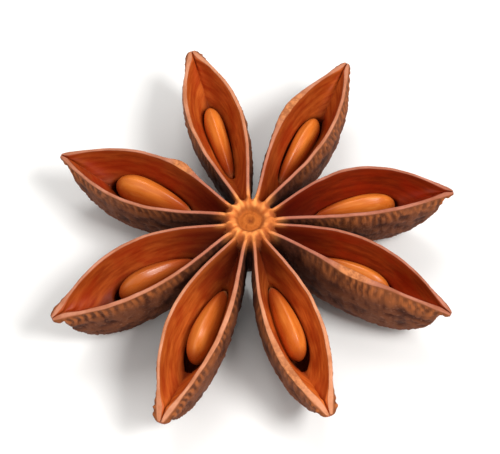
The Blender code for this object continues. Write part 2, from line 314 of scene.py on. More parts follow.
def innerPoint(row, share, side, along, waver):
    # the same on the inside, from the floor (along 0) up the pocket's wall (to mouthPart) and
    # the valley's slope (to rimPart) to the crest
    line, lip, halfRim = rimSize(row, share, side, waver, True)
    deepest = valleyDepth(share)
    innerEdge = np.minimum(husk["innerEdge"], husk["innerEdgePart"] * deepest)
    hole, oval = seedHole(row, share)
    aside = row["aside"] + bowAt(row, shareOfLength(row, seedDistance(row))) - bowAt(row, share)
    seam = husk["seamNarrow"] * lip
    edge = seam + hole * (np.clip(oval + side * aside, 0.0, husk["pocketWidest"] * lip) - seam)

    # the slope: a curved valley from the rim down to the seed's edge
    edgeDepth = innerEdge + (deepest - innerEdge) * depthAtWidth(edge / lip, husk["valleyRoundness"])
    downSlope = clamp01((husk["rimPart"] - along) / (husk["rimPart"] - husk["mouthPart"]))
    slopeDepth = innerEdge + (edgeDepth - innerEdge) * downSlope
    drop = clamp01((slopeDepth - innerEdge) / (deepest - innerEdge))
    slopeWidth = lip * rounded(drop, husk["valleyRoundness"])

    # below it: the seam of an empty valley, or the wall of the seed's pocket
    down = 1.0 - clamp01(along / husk["mouthPart"]) ** husk["pocketEase"]
    seamFloor = edgeDepth + np.minimum(husk["seamDepth"], husk["seamPart"] * deepest)
    floor = seamFloor + hole * (np.maximum(seamFloor, husk["pocketDepth"]) - seamFloor)
    swell = husk["pocketSwell"] * smoothStep(0.0, husk["pocketSwellsTo"], down)
    pocketWidth = (edge + swell) * rounded(down, husk["pocketRoundness"])
    seamWidth = edge * (1.0 - down)
    deepWidth = seamWidth + hole * (pocketWidth - seamWidth)
    deepDepth = edgeDepth + down * (floor - edgeDepth)

    rimWidth, rimDepth = overRim(along, line, lip, innerEdge, halfRim)
    onRim, onSlope = along > husk["rimPart"], along > husk["mouthPart"]
    return (np.where(onRim, rimWidth, np.where(onSlope, slopeWidth, deepWidth)),
            np.where(onRim, rimDepth, np.where(onSlope, slopeDepth, deepDepth)))


def intoFollicle(row, distance, share, across, depth):
    # from sideways and depth under the rims to a point of the pod
    roll, turn = math.radians(row["roll"]), math.radians(row["turn"])
    y = bowAt(row, share) + across * math.cos(roll) - depth * math.sin(roll)
    z = lipHeight(row, share) - across * math.sin(roll) - depth * math.cos(roll)
    return np.stack([distance * math.cos(turn) - y * math.sin(turn),
                     distance * math.sin(turn) + y * math.cos(turn), z], -1)


def folliclePoints(row, distance, share, side, along, inside, waver):
    across, depth = (innerPoint if inside else outerPoint)(row, share, side, along, waver)
    endRun = clamp01((share - husk["tipRoundsFrom"]) / (1.0 - husk["tipRoundsFrom"]))
    size = np.sqrt(1.0 - (1.0 - husk["tipShrink"] ** 2) * endRun * endRun)
    return intoFollicle(row, distance, share, side * across * size, depth * size)


def wayFromCrest(layer):
    # length along a layer from the crest of the nearer rim, for each of its points
    steps = np.linalg.norm(np.diff(layer, axis=1), axis=2)
    middle = husk["around"]
    way = np.zeros(layer.shape[:2])
    way[:, 1:middle + 1] = np.cumsum(steps[:, :middle], axis=1)
    way[:, middle:-1] = np.cumsum(steps[:, :middle - 1:-1], axis=1)[:, ::-1]
    return way


def layerNormal(layer):
    normal = np.cross(np.gradient(layer, axis=0), np.gradient(layer, axis=1))
    normal /= np.linalg.norm(normal, axis=2)[..., None] + 1e-12
    keel = normal[husk["stations"] // 2, husk["around"]]
    return normal if keel[2] < 0.0 else -normal


surface = {
    # Each kind of noise: its fineness along and across a follicle, and how far apart the noise
    # of two neighbouring follicles lies and where it starts, so that no two are alike
    "wrinkles": (1.0, 1.0, 17.0, 0.0), "fineWrinkles": (2.6, 2.2, 17.0, 5.0),
    "ribBend": (0.9, 0.8, 23.0, 0.0), "ribStrength": (0.8, 0.4, 11.0, 0.0),
    "grain": (7.0, 4.0, 13.0, 0.0),
    "streaks": (1.0, 1.0, 41.0, 0.0), "fineStreaks": (3.0, 0.6, 43.0, 0.0),
    "waver": (1.0, 1.0, 31.0, 0.0), "lumps": (3.0, 1.0, 37.0, 0.0),
    "wallApart": 6.0, "insideApart": 9.0, "rimsApart": 5.0,     # from the noise of the other side

    "wrinkleDepth": 0.21, "wrinkleLong": 1.9, "wrinkleWide": 0.85,
    "wrinkleSharp": 2.2, "wrinkleLevel": 0.25, "finePart": 0.32, "wrinkleFadeIn": (0.35, 1.9),
    "ribDepth": 0.10, "ribEvery": 0.62, "ribMiddle": 0.75, "ribReach": 0.95,    # short ribs under the rims
    "ribLean": 0.25, "ribWander": 0.45, "ribLeast": 0.6, "ribVaries": 0.9,
    "grainDepth": 0.06, "reliefFadeIn": (0.12, 0.45), "reliefEnds": ((0.02, 0.14), (0.96, 1.0)),
    "streakDepth": 0.035, "streakLong": 3.0, "streakWide": 0.45, "fineStreakPart": 0.5,
    "streakEnds": ((0.2, 0.6), (3.4, 4.2)),
    "waverWide": 0.06, "waverLong": 1.5, "waverEnds": ((0.05, 0.3), (0.85, 1.0)),
    "lumpPart": 0.10,           # lumps on a thickened rim
    "thickIsRim": 0.8,          # of a thickened rim's extra width, how much looks like rim
}


def ownNoise(kind, number, long, wide):
    # one kind of noise for one follicle
    finerLong, finerWide, step, start = surface[kind]
    return noiseAt(finerLong * long, finerWide * wide, start + step * number)


def creases(kind, number, long, wide):
    # sharp valleys between rounded wrinkles
    return 1.0 - surface["wrinkleSharp"] * np.abs(ownNoise(kind, number, long, wide))


def wallRelief(number, share, distance, side, way):
    # wrinkles, short ribs under the rims and grain on a follicle's outer wall
    long = distance / surface["wrinkleLong"]
    wide = side * (way + surface["wallApart"]) / surface["wrinkleWide"]
    fine = surface["finePart"]
    wrinkles = (1.0 - fine) * creases("wrinkles", number, long, wide)
    wrinkles += fine * creases("fineWrinkles", number, long, wide)
    wander = surface["ribLean"] * way + surface["ribWander"] * ownNoise("ribBend", number, long, wide)
    ribs = np.cos(2.0 * math.pi * (distance + wander) / surface["ribEvery"])
    strength = surface["ribLeast"] + surface["ribVaries"] * ownNoise("ribStrength", number, long, wide)
    ribs = ribs * clamp01(strength) * hump(way, surface["ribMiddle"], surface["ribReach"])
    relief = surface["wrinkleDepth"] * (wrinkles - surface["wrinkleLevel"])
    relief = relief * smoothStep(*surface["wrinkleFadeIn"], way)
    relief += surface["ribDepth"] * ribs
    relief += surface["grainDepth"] * ownNoise("grain", number, long, wide)
    return relief * between(*surface["reliefEnds"], share) * smoothStep(*surface["reliefFadeIn"], way)


def innerRelief(number, distance, side, way):
    # fine streaks along the inside, none on the rims
    long = distance / surface["streakLong"]
    wide = side * (way + surface["insideApart"]) / surface["streakWide"]
    streaks = ownNoise("streaks", number, long, wide)
    streaks += surface["fineStreakPart"] * ownNoise("fineStreaks", number, long, wide)
    return surface["streakDepth"] * streaks * between(*surface["streakEnds"], way)


def rimWaver(number, share, distance, side, extra):
    # how far a rim wanders sideways, and the lumps of a thickened one
    long, wide = distance / surface["waverLong"], surface["rimsApart"] * side
    waver = surface["waverWide"] * ownNoise("waver", number, long, wide)
    waver = waver * between(*surface["waverEnds"], share)
    return waver + surface["lumpPart"] * extra * ownNoise("lumps", number, long, wide)


def addSlab():
    # A flat slab of two layers: the under one becomes the outer wall, the upper one the
    # inside, and the narrow sides between them the rims and the two ends.
    deselectAll()
    bpy.ops.mesh.primitive_grid_add(
        x_subdivisions=husk["stations"], y_subdivisions=2 * husk["around"], size=2.0)
    slab = bpy.context.object
    slab.name = "follicleSlab"
    bpy.ops.object.mode_set(mode="EDIT")
    bpy.ops.mesh.select_all(action="SELECT")
    bpy.ops.mesh.extrude_region_move(TRANSFORM_OT_translate={"value": (0.0, 0.0, 1.0)})
    faceOutwards(slab)
    return slab


def foldSlab(slab, row, number):
    # folds a copy of the slab into one follicle; returns it with its points and what is known of each
    piece = duplicate(slab, f"follicle{number}")
    steps = np.linspace(0.0, 1.0, husk["stations"] + 1)
    eased = 1.0 - (1.0 - steps) ** husk["stationEase"]
    distance = husk["buriedRadius"] + (row["length"] - husk["buriedRadius"]) * eased[:, None]
    lanes = np.linspace(-1.0, 1.0, 2 * husk["around"] + 1)[None, :]
    side = np.where(lanes < 0.0, -1.0, 1.0)
    share = shareOfLength(row, distance)
    extra = rimExtra(row, share, side)
    waver = rimWaver(number, share, distance, side, extra)
    wall, inside = [folliclePoints(row, distance, share, side, np.abs(lanes), isInside, waver)
                    for isInside in (False, True)]
    wallWay, insideWay = wayFromCrest(wall), wayFromCrest(inside)
    wallWay = np.maximum(0.0, wallWay - surface["thickIsRim"] * extra)
    relief = wallRelief(number, share, distance, side, wallWay)
    wall = wall + layerNormal(wall) * relief[..., None]
    wall[..., 2] = np.maximum(wall[..., 2], 0.0)
    inside = inside - layerNormal(inside) * innerRelief(number, distance, side, insideWay)[..., None]

    flat = readPoints(piece)
    station = np.rint((flat[:, 0] + 1.0) / 2.0 * husk["stations"]).astype(int)
    lane = np.rint((flat[:, 1] + 1.0) * husk["around"]).astype(int)
    layer = (flat[:, 2] > 0.5).astype(int)
    points = np.stack([wall, inside])[layer, station, lane]
    writePoints(piece, points * mm)
    return piece, points, {
        "inside": layer,
        "way": np.stack([wallWay, insideWay])[layer, station, lane],
        "share": share[station, 0],
        "distance": distance[station, 0],
        "side": side[0, lane],
        "relief": np.where(layer == 0, relief[station, lane], 0.0),
        "extra": extra[station, lane],
        "number": np.full(len(layer), float(number)),
        # the follicle's tone, mostly painted light and shade, and its neck's painted shade
        "tone": np.full(len(layer), row["tone"]),
        "neckShade": np.full(len(layer), row["neckShade"]),
    }


column = {
    "segments": 32, "smoothing": 2,
    # radius and height of each loop, from the stalk's cut face up and over the ring to the pip
    "loops": [(0.95, 0.55), (0.98, 1.0), (1.24, 1.7), (1.95, 2.4), (2.7, 3.85), (3.0, 5.3),
              (2.4, 6.7), (2.05, 7.50), (1.85, 7.92), (1.58, 8.10), (1.32, 8.06), (1.12, 7.82),
              (0.96, 7.58), (0.78, 7.54), (0.60, 7.70), (0.44, 7.76), (0.30, 7.62), (0.16, 7.50),
              (0.06, 7.46)],
    # radial ridges that run from the ring into the rims; their width is in degrees
    "ridge": 0.20, "ridgeWidth": 5.5, "ridgeOut": 0.10,
    "topHeights": (6.6, 7.6), "topRadii": (1.15, 1.6), "axisRadii": (0.3, 0.8),
    "lumps": 0.08, "lumpFine": 3.2, "lumpPlace": 8.0, "lumpHeights": (6.6, 7.4),
    "streakPart": 0.6, "streakFine": 5.0, "streakAlong": 0.9,
    "rough": 0.05, "roughFine": (1.6, 1.6, 1.1),
    # where the creases between the grown-together follicles are eased, and how much
    "jointRadii": (2.6, 4.4), "jointTop": (6.8, 7.6), "jointTopKept": 0.75, "jointFoot": (0.7, 1.6),
    "jointFactor": 0.5, "jointTimes": 6,
}


def radiusOf(points):
    return np.hypot(points[:, 0], points[:, 1])


def addColumn():
    # From the stalk's cut face upwards, loop by loop: extrude, then resize
    deselectAll()
    loops = column["loops"]
    radius, height = loops[0][0], 0.0
    bpy.ops.mesh.primitive_circle_add(vertices=column["segments"], radius=radius * mm, fill_type="NGON")
    piece = bpy.context.object
    piece.name = "podHusk"
    bpy.ops.object.mode_set(mode="EDIT")
    bpy.ops.mesh.select_all(action="SELECT")
    for nextRadius, nextHeight in loops:
        up = (0.0, 0.0, (nextHeight - height) * mm)
        bpy.ops.mesh.extrude_region_move(TRANSFORM_OT_translate={"value": up})
        ratio = nextRadius / radius
        bpy.ops.transform.resize(value=(ratio, ratio, 1.0), center_override=(0.0, 0.0, nextHeight * mm))
        radius, height = nextRadius, nextHeight
    faceOutwards(piece)
    applyModifier(piece, "SUBSURF", levels=column["smoothing"], render_levels=column["smoothing"])
    points = readPoints(piece) / mm
    points[:, 2] = np.maximum(points[:, 2], 0.0)
    writePoints(piece, ridgeColumn(points) * mm)
    return piece


def ringRidges(points):
    # 1 on the radial lines from the column's axis to the rims' inner ends, 0 between them
    angle = np.degrees(np.arctan2(points[:, 1], points[:, 0]))
    rimAngle = math.degrees(math.atan2(husk["rootOpening"], husk["rootRadius"]))
    ridges = np.zeros(len(points))
    for row in follicleRows:
        for side in (-1.0, 1.0):
            off = (angle - row["turn"] - side * rimAngle + 180.0) % 360.0 - 180.0
            ridges += hump(off, 0.0, column["ridgeWidth"])
    return clamp01(ridges)


def ringStreaks(points):
    # noise in radial streaks, -1 to 1
    radius = radiusOf(points) + 1e-6
    across = column["streakFine"] / radius
    return noiseAt(across * points[:, 0], across * points[:, 1], column["streakAlong"] * radius)


def ridgeColumn(points):
    # raises a ridge on the ring in front of each rim, and roughens the back of the column
    x, y, z = points.T
    radius = radiusOf(points)
    onTop = smoothStep(*column["topHeights"], z) * smoothStep(*column["topRadii"], radius)
    ridges = ringRidges(points) * onTop
    roughX, roughY, roughZ = column["roughFine"]
    rough = noiseAt(x * roughX, y * roughY, z * roughZ)
    lumps = noiseAt(x * column["lumpFine"], y * column["lumpFine"], column["lumpPlace"])
    lumps = lumps + column["streakPart"] * ringStreaks(points)
    raised = points.copy()
    lumpy = column["lumps"] * smoothStep(*column["lumpHeights"], z)
    raised[:, 2] += column["ridge"] * ridges + lumpy * lumps
    outward = column["ridgeOut"] * ridges + column["rough"] * rough * (1.0 - onTop)
    outward = 1.0 + outward * smoothStep(*column["axisRadii"], radius)
    raised[:, :2] *= outward[:, None]
    return raised


def columnFacts(points):
    # the column counts as outer wall, 3 mm from any rim, in the middle of the tones
    none = np.zeros(len(points))
    facts = dict.fromkeys(("inside", "share", "side", "relief", "extra", "number", "neckShade"), none)
    facts.update(way=none + 3.0, distance=radiusOf(points), tone=none + 0.5)
    return facts


def joinFollicles(piece, follicles):
    # one union of the column and all the follicles
    together = bpy.data.collections.new("follicles")
    bpy.context.scene.collection.children.link(together)
    for follicle in follicles:
        together.objects.link(follicle)
    applyModifier(piece, "BOOLEAN", operation="UNION", operand_type="COLLECTION", collection=together)
    for follicle in follicles:
        bpy.data.objects.remove(follicle)
    bpy.data.collections.remove(together)


def softenJoints(piece):
    # Eases the creases where the follicles' backs grow together, and the rims into the ring
    points = readPoints(piece) / mm
    weight = 1.0 - smoothStep(*column["jointRadii"], radiusOf(points))
    weight *= 1.0 - column["jointTopKept"] * smoothStep(*column["jointTop"], points[:, 2])
    weight *= smoothStep(*column["jointFoot"], points[:, 2])
    group = piece.vertex_groups.new(name="joints")
    for index in np.flatnonzero(weight > 0.01):
        group.add([int(index)], float(weight[index]), "REPLACE")
    applyModifier(piece, "SMOOTH", factor=column["jointFactor"], iterations=column["jointTimes"],
                  vertex_group="joints")
    piece.vertex_groups.clear()


def carryFacts(piece, sources):
    # Gives every point of the joined husk what was known of the nearest point before the union
    places = np.concatenate([points for points, facts in sources])
    tree = kdtree.KDTree(len(places))
    for index, place in enumerate(places):
        tree.insert(place, index)
    tree.balance()
    final = readPoints(piece) / mm
    nearest = [tree.find(place)[1] for place in final]
    known = {}
    for name in sources[0][1]:
        known[name] = np.concatenate([facts[name] for points, facts in sources])[nearest]
    return final, known


# Where the marks below start and end. Radii, heights and widths are in millimetres, and
# neckShares are shares of the follicle's length.
marks = {
    "ringRadii": (1.7, 3.4), "ringHeights": (6.6, 7.2), "ringOnInside": 0.9, "ringRimWidth": (0.15, 0.45),
    "thick": (0.10, 0.40), "neckShares": (0.05, 0.42),
    "ridgeRadii": (1.2, 1.7), "ridgeKept": (1.4, 1.8), "streakMiddle": 0.5, "streakStrength": 1.1,
    "dimpleRadii": (0.9, 1.3), "dimpleHeights": (7.0, 7.3),
    "dimpleUneven": 0.10, "dimpleNoise": (1.5, 3.0),
    "dimpleRing": (1.05, 0.20, 0.55), "pip": (0.0, 0.24, 0.9),      # radius, width and darkness
    "placeApart": 3.0, "placeStep": 7.0,
}


def darkLine(radius, line):
    middle, width, strength = line
    return strength * hump(radius, middle, width)


def markHusk(piece, sources):
    final, known = carryFacts(piece, sources)
    x, y, height = final.T
    radius, way = radiusOf(final), known["way"]
    ring = (1.0 - smoothStep(*marks["ringRadii"], radius)) * smoothStep(*marks["ringHeights"], height)
    ring *= 1.0 - marks["ringOnInside"] * known["inside"] * smoothStep(*marks["ringRimWidth"], way)
    ringRidge = ringRidges(final) * smoothStep(*marks["ridgeRadii"], radius)
    ringRidge += 1.0 - smoothStep(*marks["ridgeKept"], radius)
    inDimple = smoothStep(*marks["dimpleHeights"], height)
    noiseFine, noisePlace = marks["dimpleNoise"]
    uneven = noiseAt(x * noiseFine, y * noiseFine, noisePlace)
    unevenRadius = radius * (1.0 + marks["dimpleUneven"] * uneven)
    lines = darkLine(unevenRadius, marks["dimpleRing"]) + darkLine(unevenRadius, marks["pip"])
    across = known["side"] * (way + marks["placeApart"])
    values = {
        "inside": known["inside"],
        "fromCrest": way,
        "alongShare": known["share"],
        "relief": known["relief"],
        # each follicle's tone: partly its own colour, mostly painted light and shade
        "tone": known["tone"],
        "thickRim": smoothStep(*marks["thick"], known["extra"]),
        # how much painted shade darkens the inside towards the ring
        "neckShade": known["neckShade"] * (1.0 - smoothStep(*marks["neckShares"], known["share"])),
        "ring": ring,
        "ringRidge": clamp01(ringRidge),
        "ringStreak": clamp01(marks["streakMiddle"] + marks["streakStrength"] * ringStreaks(final)),
        # where the painted shade in the dimple goes
        "dimple": (1.0 - smoothStep(*marks["dimpleRadii"], radius)) * inDimple,
        "dimpleLine": clamp01(lines) * inDimple,
        "wallPlace": np.stack([known["distance"], across, marks["placeStep"] * known["number"]], 1),
    }
    for name, value in values.items():
        addAttribute(piece, name, value)


seedShape = {
    "halfLength": 3.45, "halfDepth": 1.75, "halfThickness": 1.00,
    "distance": 8.9, "belowLip": 3.40,      # its middle, from the column's axis and under the rims
    "taper": 0.28, "segments": 48, "rings": 40,
    "edgeRidge": 0.07, "edgeRidgeWidth": 0.16, "flatSides": 0.10,
    "dents": 0.05, "dentNoise": (1.3, 1.1, 1.3, 4.0), "dentLong": 0.03,
    # the scar where it was fixed, a shallow hollow with a low rim, on a ball of radius 1
    "scarAt": (-0.93, 0.22), "scarSize": (0.10, 0.20), "scarHollow": 0.07, "scarRim": 0.04,
    "scarRimAt": 1.2, "scarRimWidth": math.sqrt(0.12), "scarWithin": -0.5,
    # where along the seed the painted shade at its outer end fades in, and where its darker inner end fades
    # out
    "outerEndShade": (0.80, 1.0), "innerEnd": (-0.9, 0.1), "placeStep": 5.0,
}


def seedDistance(row):
    return seedShape["distance"] + row["out"]


def scarDistance(unit):
    # from the scar's middle, 1 at its edge
    (along, up), (long, high) = seedShape["scarAt"], seedShape["scarSize"]
    return np.hypot((unit[:, 0] - along) / long, (unit[:, 2] - up) / high)


def modelSeed():
    # One seed in millimetres round its own middle, along +X, edge up; returns it with the
    # points of the ball it is shaped from
    deselectAll()
    bpy.ops.mesh.primitive_uv_sphere_add(
        segments=seedShape["segments"], ring_count=seedShape["rings"], radius=1.0)
    master = bpy.context.object
    master.name = "podSeed"
    bpy.ops.object.mode_set(mode="EDIT")
    bpy.ops.mesh.select_all(action="SELECT")
    bpy.ops.transform.rotate(value=math.radians(90.0), orient_axis="Y", center_override=(0.0, 0.0, 0.0))
    bpy.ops.object.mode_set(mode="OBJECT")
    unit = readPoints(master)
    along, side, up = unit.T
    girth = 1.0 + seedShape["taper"] * along
    # a flat ovoid: its edge is a little keeled, its two sides a little flattened
    edge = 1.0 + seedShape["edgeRidge"] * hump(side, 0.0, seedShape["edgeRidgeWidth"]) * np.sqrt(np.abs(up))
    flat = 1.0 - seedShape["flatSides"] * np.abs(side) ** 4
    fineX, fineY, fineZ, start = seedShape["dentNoise"]
    dents = 1.0 + seedShape["dents"] * noiseAt(along * fineX, side * fineY, up * fineZ + start)
    scar = scarDistance(unit)
    scarHeight = seedShape["scarRim"] * hump(scar, seedShape["scarRimAt"], seedShape["scarRimWidth"])
    scarHeight = scarHeight - seedShape["scarHollow"] * hump(scar, 0.0, 1.0)
    swell = dents * (1.0 + np.where(along < seedShape["scarWithin"], scarHeight, 0.0))
    writePoints(master, np.stack([
        along * seedShape["halfLength"] * (1.0 + seedShape["dentLong"] * (dents - 1.0)),
        side * seedShape["halfThickness"] * girth * flat * swell,
        up * seedShape["halfDepth"] * girth * edge * swell,
    ], 1))
    bpy.ops.object.shade_smooth()
    return master, unit


def placeSeed(master, unit, row, number):
    # copies the seed into its follicle; the points turn with the follicle's own frame
    seed = duplicate(master, f"podSeed{number}")
    shaped = readPoints(seed)
    middle = seedDistance(row)
    across = row["aside"] + shaped[:, 1] * row["seed"]
    depth = seedShape["belowLip"] - shaped[:, 2] * row["seed"]
    points = intoFollicle(row, middle + shaped[:, 0], shareOfLength(row, middle), across, depth)
    writePoints(seed, points * mm)
    faceOutwards(seed)
    addAttribute(seed, "seedPlace", unit + np.array([0.0, 0.0, seedShape["placeStep"] * number]))
    addAttribute(seed, "scar", hump(scarDistance(unit), 0.0, 1.0))
    # where the painted shade at the seed's outer end goes
    addAttribute(seed, "outerEndShade", smoothStep(*seedShape["outerEndShade"], unit[:, 0]))
    addAttribute(seed, "innerEnd", 1.0 - smoothStep(*seedShape["innerEnd"], unit[:, 0]))
    addAttribute(seed, "shade", np.full(len(unit), row["shade"]))
    return seed


class Shader:
    # a material's node tree with short ways to add what the finishes below need
    def __init__(self, name):
        self.material = bpy.data.materials.new(name)
        self.material.use_nodes = True
        self.tree = self.material.node_tree
        self.surface = self.tree.nodes["Principled BSDF"]

    def node(self, kind, inputs=(), **settings):
        made = self.tree.nodes.new(kind)
        for key, value in settings.items():
            setattr(made, key, value)
        for socket, value in dict(inputs).items():
            self.feed(made.inputs[socket], value)
        return made

    def feed(self, socket, value):
        if isinstance(value, bpy.types.NodeSocket):
            self.tree.links.new(value, socket)
        elif socket.type == "RGBA":
            socket.default_value = (*value, 1.0)
        else:
            socket.default_value = value

    def attribute(self, name, output="Fac"):
        return self.node("ShaderNodeAttribute", attribute_name=name).outputs[output]

    def value(self, operation, *inputs):
        return self.node("ShaderNodeMath", dict(enumerate(inputs)), operation=operation).outputs[0]

    def steps(self, value, low, high, toLow=0.0, toHigh=1.0):
        # turns low to high into toLow to toHigh, smoothly, and stops there
        made = self.node("ShaderNodeMapRange", {"Value": value, "From Min": low, "From Max": high,
                                                "To Min": toLow, "To Max": toHigh})
        made.interpolation_type = "SMOOTHSTEP"
        return made.outputs[0]

    def noise(self, place, scale, detail, rough):
        return self.node("ShaderNodeTexNoise", {"Vector": place, "Scale": scale, "Detail": detail,
                                                "Roughness": rough}).outputs[0]

    def stretched(self, place, x, y, z):
        return self.node("ShaderNodeMapping", {"Vector": place, "Scale": (x, y, z)}).outputs[0]

    def mix(self, share, first, second):
        return self.node("ShaderNodeMix", {0: share, 2: first, 3: second}, data_type="FLOAT").outputs[0]

    def blend(self, share, first, second):
        return self.node("ShaderNodeMix", {0: share, 6: first, 7: second}, data_type="RGBA").outputs[2]

    def finish(self, base, roughness, specular, height, strength, distance):
        bump = self.node("ShaderNodeBump", {"Height": height, "Strength": strength, "Distance": distance})
        inputs = self.surface.inputs
        for name, value in (("Base Color", base), ("Roughness", roughness),
                            ("Specular IOR Level", specular), ("Normal", bump.outputs[0])):
            self.feed(inputs[name], value)
        return self.material


# The pairs from warm to rimBrown are for the coolest and the warmest follicle, and so also
# carry painted shade and painted light for how the light falls on each; the other pairs are mixed by noise.
huskLook = {
    # on the wall: the valley colour is painted shade, the ridge and speck colours painted highlights, and
    # the colour near the ring painted shade
    "wall": ((0.053, 0.013, 0.005), (0.102, 0.026, 0.009)), "wallValleyShade": (0.030, 0.007, 0.003),
    "wallRidgeHighlight": (0.205, 0.063, 0.025), "wallSpeckHighlight": (0.275, 0.112, 0.062),
    "wallRib": (0.400, 0.112, 0.028), "wallNearRingShade": (0.040, 0.008, 0.004),
    # warm and cool: partly the follicles' own colours, mostly painted light and shade
    "warm": ((0.210, 0.015, 0.002), (0.640, 0.150, 0.022)),
    "cool": ((0.120, 0.006, 0.001), (0.400, 0.060, 0.006)),
    # the neck colour is painted shade towards the ring, the deep colour painted shade deep in the seed's
    # pocket
    "patch": (0.270, 0.011, 0.001), "neckShade": (0.060, 0.004, 0.002), "deep": (0.050, 0.005, 0.002),
    "rimPale": ((0.420, 0.150, 0.096), (0.640, 0.275, 0.145)),
    "rimBrown": ((0.270, 0.075, 0.036), (0.460, 0.155, 0.062)),
    "rimNearRing": (0.370, 0.112, 0.070), "thickRim": ((0.340, 0.105, 0.034), (0.580, 0.205, 0.070)),
    "gold": ((0.820, 0.250, 0.056), (0.930, 0.370, 0.100)), "goldStreak": (0.560, 0.140, 0.026),
    "goldHollow": (0.380, 0.085, 0.018),
    # the dimple's colour is painted shade
    "dimple": (0.450, 0.115, 0.015), "dimpleLine": (0.250, 0.052, 0.008),
    "wallRoughness": 0.78, "insideRoughness": 0.40, "specular": 0.16,
    "bump": 0.7, "bumpHeight": 0.00015, "insideBump": 0.12,
    "blotchFineness": 420.0, "fineFineness": 2600.0,
}


def wallColour(s, fact, blotch, fine):
    # painted shade in the valleys, mid brown sides, painted highlights on the ridge tops and in
    # small pale specks, tan on the ribs under the rims, and painted shade near the ring
    look, relief = huskLook, fact["relief"]
    wall = s.blend(s.steps(blotch, 0.30, 0.70), *look["wall"])
    # painted shade in the wall's valleys
    wall = s.blend(s.steps(relief, -0.12, 0.02, 0.75, 0.0), wall, look["wallValleyShade"])
    # painted highlights on the ridge tops, and in small pale specks on the fine bumps
    wall = s.blend(s.steps(relief, -0.02, 0.14, 0.0, 0.70), wall, look["wallRidgeHighlight"])
    wall = s.blend(s.steps(fine, 0.54, 0.72, 0.0, 0.45), wall, look["wallSpeckHighlight"])
    nearRim = s.steps(fact["fromCrest"], 0.30, 2.10, 1.0, 0.0)
    onRib = s.steps(relief, -0.03, 0.08, 0.25, 1.0)
    wall = s.blend(s.value("MULTIPLY", nearRim, onRib), wall, look["wallRib"])
    # painted shade near the ring, where the follicles meet
    return s.blend(s.steps(fact["alongShare"], 0.45, 0.10, 0.0, 0.85), wall, look["wallNearRingShade"])


def insideColour(s, fact, streak, patch):
    # streaked along; warmer and brighter on some follicles, partly their own colour and mostly
    # painted light; painted light on the slope just under the rims; painted shade towards the
    # ring and deep in the seed's pocket, most towards the seed's outer end
    look, way, share = huskLook, fact["fromCrest"], fact["alongShare"]
    warm = s.blend(fact["tone"], *look["warm"])
    cool = s.blend(fact["tone"], *look["cool"])
    inner = s.blend(s.steps(streak, 0.30, 0.70), cool, warm)
    inner = s.blend(s.steps(patch, 0.42, 0.62, 0.0, 0.50), inner, look["patch"])
    # painted shade towards the ring, as dark as each follicle's neck is set
    inner = s.blend(s.value("MULTIPLY", fact["neckShade"], 0.85), inner, look["neckShade"])
    # painted light on the slope just under the rims
    inner = s.blend(s.steps(way, 0.9, 0.2, 0.0, 0.35), inner, warm)
    # painted shade deep in the seed's pocket, most towards the seed's outer end
    deep = s.value("MULTIPLY", s.steps(way, 2.8, 4.0, 0.0, 0.7), s.steps(share, 0.42, 0.60, 0.2, 1.0))
    return s.blend(deep, inner, look["deep"])


def rimColour(s, fact, streak, blotch, fine):
    # pale, a little pink, browner in places and near the ring; its lightness follows each
    # follicle's tone, which is partly its own colour and mostly painted light and shade; tan where it is
    # thick
    look = huskLook
    pale = s.blend(fact["tone"], *look["rimPale"])
    brown = s.blend(fact["tone"], *look["rimBrown"])
    rim = s.blend(s.steps(streak, 0.30, 0.65), brown, pale)
    rim = s.blend(s.steps(blotch, 0.50, 0.75, 0.0, 0.5), rim, brown)
    rim = s.blend(s.steps(fact["alongShare"], 0.45, 0.15, 0.0, 0.6), rim, look["rimNearRing"])
    return s.blend(fact["thickRim"], rim, s.blend(s.steps(fine, 0.35, 0.65), *look["thickRim"]))


def ringColour(s, fact, blotch):
    # golden, darker between the ridges, with painted shade in the dimple
    look = huskLook
    gold = s.blend(s.steps(blotch, 0.35, 0.65), *look["gold"])
    gold = s.blend(fact["ringStreak"], look["goldStreak"], gold)
    gold = s.blend(fact["ringRidge"], look["goldHollow"], gold)
    # painted shade in the dimple
    gold = s.blend(fact["dimple"], gold, look["dimple"])
    return s.blend(fact["dimpleLine"], gold, look["dimpleLine"])


